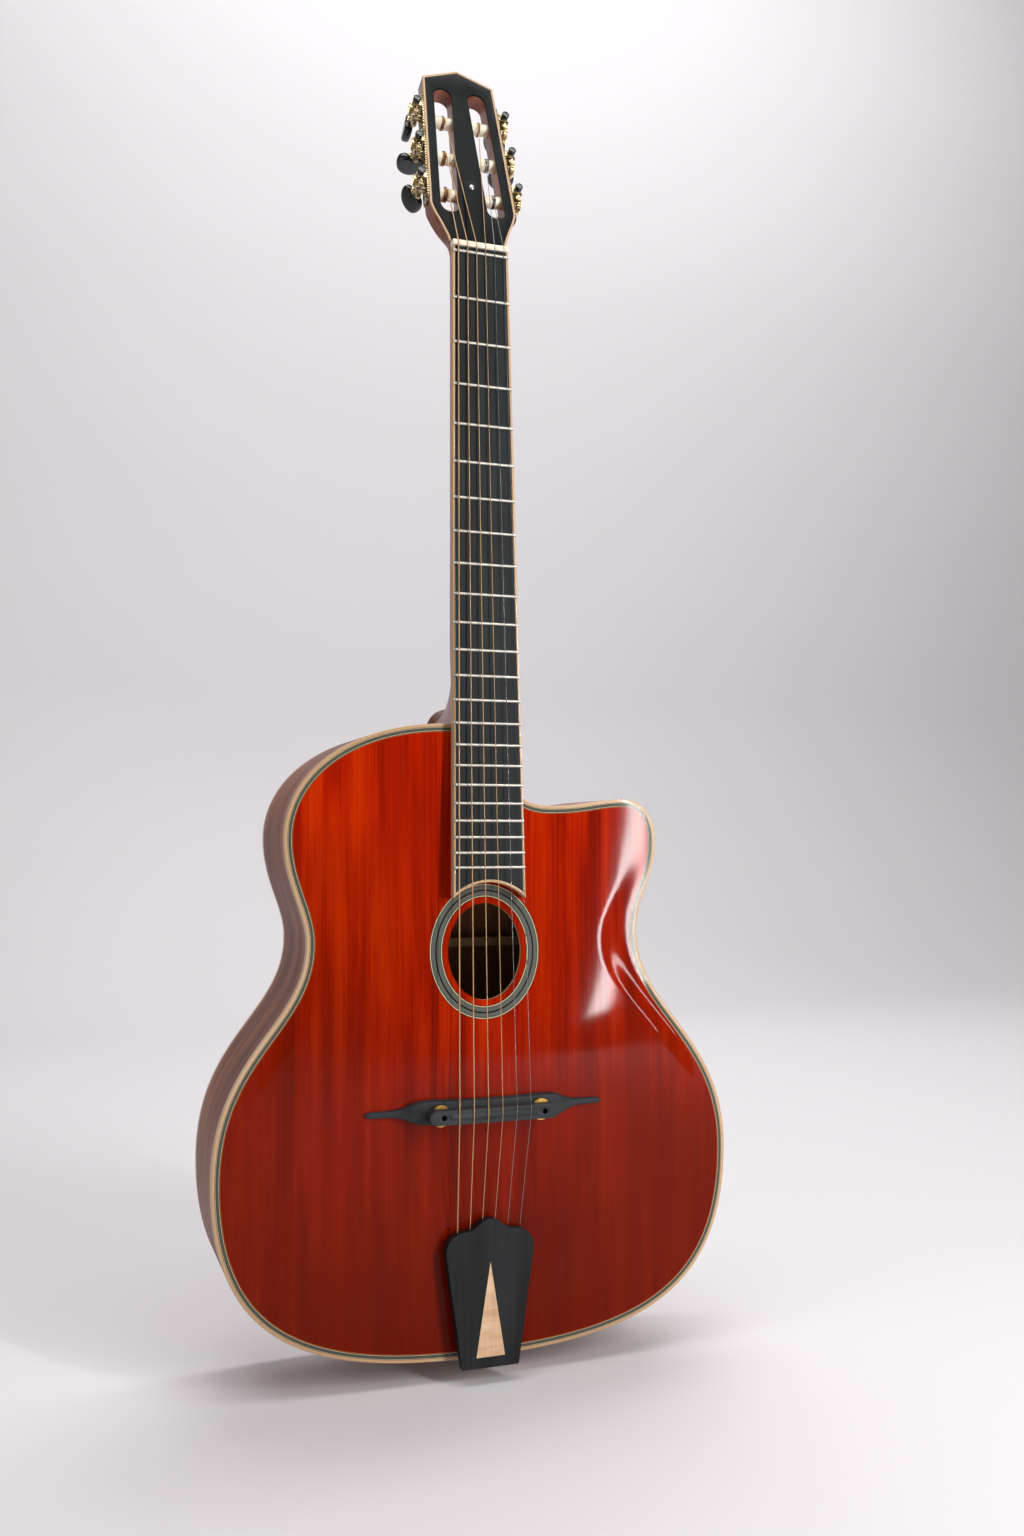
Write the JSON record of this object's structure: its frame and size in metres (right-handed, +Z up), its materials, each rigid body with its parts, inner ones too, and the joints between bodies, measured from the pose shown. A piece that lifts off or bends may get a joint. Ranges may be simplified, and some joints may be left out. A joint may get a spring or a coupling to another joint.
{
  "type": "steel-string guitar",
  "caption": "Gypsy-jazz style cutaway guitar with oval soundhole, floating bridge, tailpiece and slotted headstock with worm-geared tuners",
  "frame": {"origin": "seat of the end pin: the tail end of the body on its centre line, halfway through the body's depth", "axes": "+Z up the instrument from tail to headstock, front of the soundboard faces -Y, +X to the treble side"},
  "size_m": [0.414, 0.129, 1.0513],
  "materials": {
    "stained_spruce": "high gloss red-orange stained spruce",
    "maple_sides": "gloss pinkish brown figured wood",
    "spruce_raw": "raw spruce and lime inside the box",
    "binding_maple": "light maple binding under lacquer",
    "purfling": "grey-green dyed veneer",
    "neck_mahogany": "gloss stained neck wood",
    "ebony": "matt ebony",
    "fretboard_ebony": "satin ebony",
    "head_ebony": "gloss ebony veneer",
    "nickel": "polished nickel silver",
    "gold_plate": "gold plated engraved brass",
    "brass": "polished brass",
    "steel": "plain steel",
    "bone": "bone-coloured moulded plastic",
    "black_plastic": "polished black button plastic",
    "bronze_string": "bronze wound on steel"
  },
  "bodies": {
    "guitar": {"soundboard": "stained_spruce", "back_plate": "maple_sides", "side_bass": "maple_sides", "side_treble": "maple_sides", "neck_block": "spruce_raw", "tail_block": "spruce_raw", "linings": "spruce_raw", "top_braces": "spruce_raw", "back_braces": "spruce_raw", "body_binding": "binding_maple", "top_purfling": "purfling", "rosette": "purfling", "neck": "neck_mahogany", "heel_cap": "ebony", "truss_rod": "steel", "truss_rod_cover": "ebony", "screws": "nickel", "fretboard": "fretboard_ebony", "fretboard_binding": "binding_maple", "fretboard_riser": "stained_spruce", "frets": "nickel", "nut": "bone", "headstock_face": "head_ebony", "headstock_binding": "binding_maple", "tuner_plate_bass": "gold_plate", "tuner_plate_treble": "gold_plate", "bridge_base": "ebony", "bridge_posts": "brass", "tailpiece": "ebony", "tailpiece_inlay": "binding_maple", "tailpiece_bracket": "gold_plate", "end_pin": "ebony", "strings": "bronze_string"},
    "worm_shaft_1": {"worm_1": "brass", "button_1": "black_plastic"},
    "string_roller_1": {"gear_1": "gold_plate", "roller_1": "bone"},
    "worm_shaft_2": {"worm_2": "brass", "button_2": "black_plastic"},
    "string_roller_2": {"gear_2": "gold_plate", "roller_2": "bone"},
    "worm_shaft_3": {"worm_3": "brass", "button_3": "black_plastic"},
    "string_roller_3": {"gear_3": "gold_plate", "roller_3": "bone"},
    "worm_shaft_4": {"worm_4": "brass", "button_4": "black_plastic"},
    "string_roller_4": {"gear_4": "gold_plate", "roller_4": "bone"},
    "worm_shaft_5": {"worm_5": "brass", "button_5": "black_plastic"},
    "string_roller_5": {"gear_5": "gold_plate", "roller_5": "bone"},
    "worm_shaft_6": {"worm_6": "brass", "button_6": "black_plastic"},
    "string_roller_6": {"gear_6": "gold_plate", "roller_6": "bone"},
    "saddle_bar": {"saddle": "ebony"},
    "wheel_bass": {"thumbwheel_bass": "brass"},
    "wheel_treble": {"thumbwheel_treble": "brass"}
  },
  "joints": [
    {"name": "button_1_turn", "type": "hinge", "parent": "guitar", "child": "worm_shaft_1", "pos_m": [-0.04135, -0.00983, 0.92365], "axis": [0, 0.95, -0.3123], "continuous": true},
    {"name": "roller_1_turn", "type": "hinge", "parent": "guitar", "child": "string_roller_1", "pos_m": [-0.03529, -0.01312, 0.91362], "axis": [0.9991, -0.0131, -0.0398], "continuous": true},
    {"name": "button_2_turn", "type": "hinge", "parent": "guitar", "child": "worm_shaft_2", "pos_m": [-0.03978, 0.00188, 0.95924], "axis": [0, 0.95, -0.3123], "continuous": true},
    {"name": "roller_2_turn", "type": "hinge", "parent": "guitar", "child": "string_roller_2", "pos_m": [-0.03371, -0.00142, 0.94921], "axis": [0.9991, -0.0131, -0.0398], "continuous": true},
    {"name": "button_3_turn", "type": "hinge", "parent": "guitar", "child": "worm_shaft_3", "pos_m": [-0.0382, 0.01358, 0.99484], "axis": [0, 0.95, -0.3123], "continuous": true},
    {"name": "roller_3_turn", "type": "hinge", "parent": "guitar", "child": "string_roller_3", "pos_m": [-0.03214, 0.01028, 0.9848], "axis": [0.9991, -0.0131, -0.0398], "continuous": true},
    {"name": "button_4_turn", "type": "hinge", "parent": "guitar", "child": "worm_shaft_4", "pos_m": [0.04135, -0.00983, 0.92365], "axis": [0, 0.95, -0.3123], "continuous": true},
    {"name": "roller_4_turn", "type": "hinge", "parent": "guitar", "child": "string_roller_4", "pos_m": [0.03529, -0.01312, 0.91362], "axis": [0.9991, 0.0131, 0.0398], "continuous": true},
    {"name": "button_5_turn", "type": "hinge", "parent": "guitar", "child": "worm_shaft_5", "pos_m": [0.03978, 0.00188, 0.95924], "axis": [0, 0.95, -0.3123], "continuous": true},
    {"name": "roller_5_turn", "type": "hinge", "parent": "guitar", "child": "string_roller_5", "pos_m": [0.03371, -0.00142, 0.94921], "axis": [0.9991, 0.0131, 0.0398], "continuous": true},
    {"name": "button_6_turn", "type": "hinge", "parent": "guitar", "child": "worm_shaft_6", "pos_m": [0.0382, 0.01358, 0.99484], "axis": [0, 0.95, -0.3123], "continuous": true},
    {"name": "roller_6_turn", "type": "hinge", "parent": "guitar", "child": "string_roller_6", "pos_m": [0.03214, 0.01028, 0.9848], "axis": [0.9991, 0.0131, 0.0398], "continuous": true},
    {"name": "saddle_lift", "type": "slide", "parent": "guitar", "child": "saddle_bar", "axis": [0, -1, 0], "range_m": [-0.001, 0.003], "deforming": ["strings"]},
    {"name": "thumbwheel_bass_spin", "type": "hinge", "parent": "saddle_bar", "child": "wheel_bass", "pos_m": [-0.04, -0.0644, 0.1885], "axis": [0, -1, 0], "range_deg": [-520, 1560]},
    {"name": "thumbwheel_treble_spin", "type": "hinge", "parent": "saddle_bar", "child": "wheel_treble", "pos_m": [0.04, -0.0644, 0.1885], "axis": [0, -1, 0], "range_deg": [-520, 1560]}
  ],
  "couplings": [
    {"joint": "roller_1_turn", "follows": "button_1_turn", "ratio": 0.071429},
    {"joint": "roller_2_turn", "follows": "button_2_turn", "ratio": 0.071429},
    {"joint": "roller_3_turn", "follows": "button_3_turn", "ratio": 0.071429},
    {"joint": "roller_4_turn", "follows": "button_4_turn", "ratio": 0.071429},
    {"joint": "roller_5_turn", "follows": "button_5_turn", "ratio": 0.071429},
    {"joint": "roller_6_turn", "follows": "button_6_turn", "ratio": 0.071429},
    {"joint": "thumbwheel_bass_spin", "follows": "saddle_lift", "rad_per_m": 8976},
    {"joint": "thumbwheel_treble_spin", "follows": "saddle_lift", "rad_per_m": 8976}
  ]
}
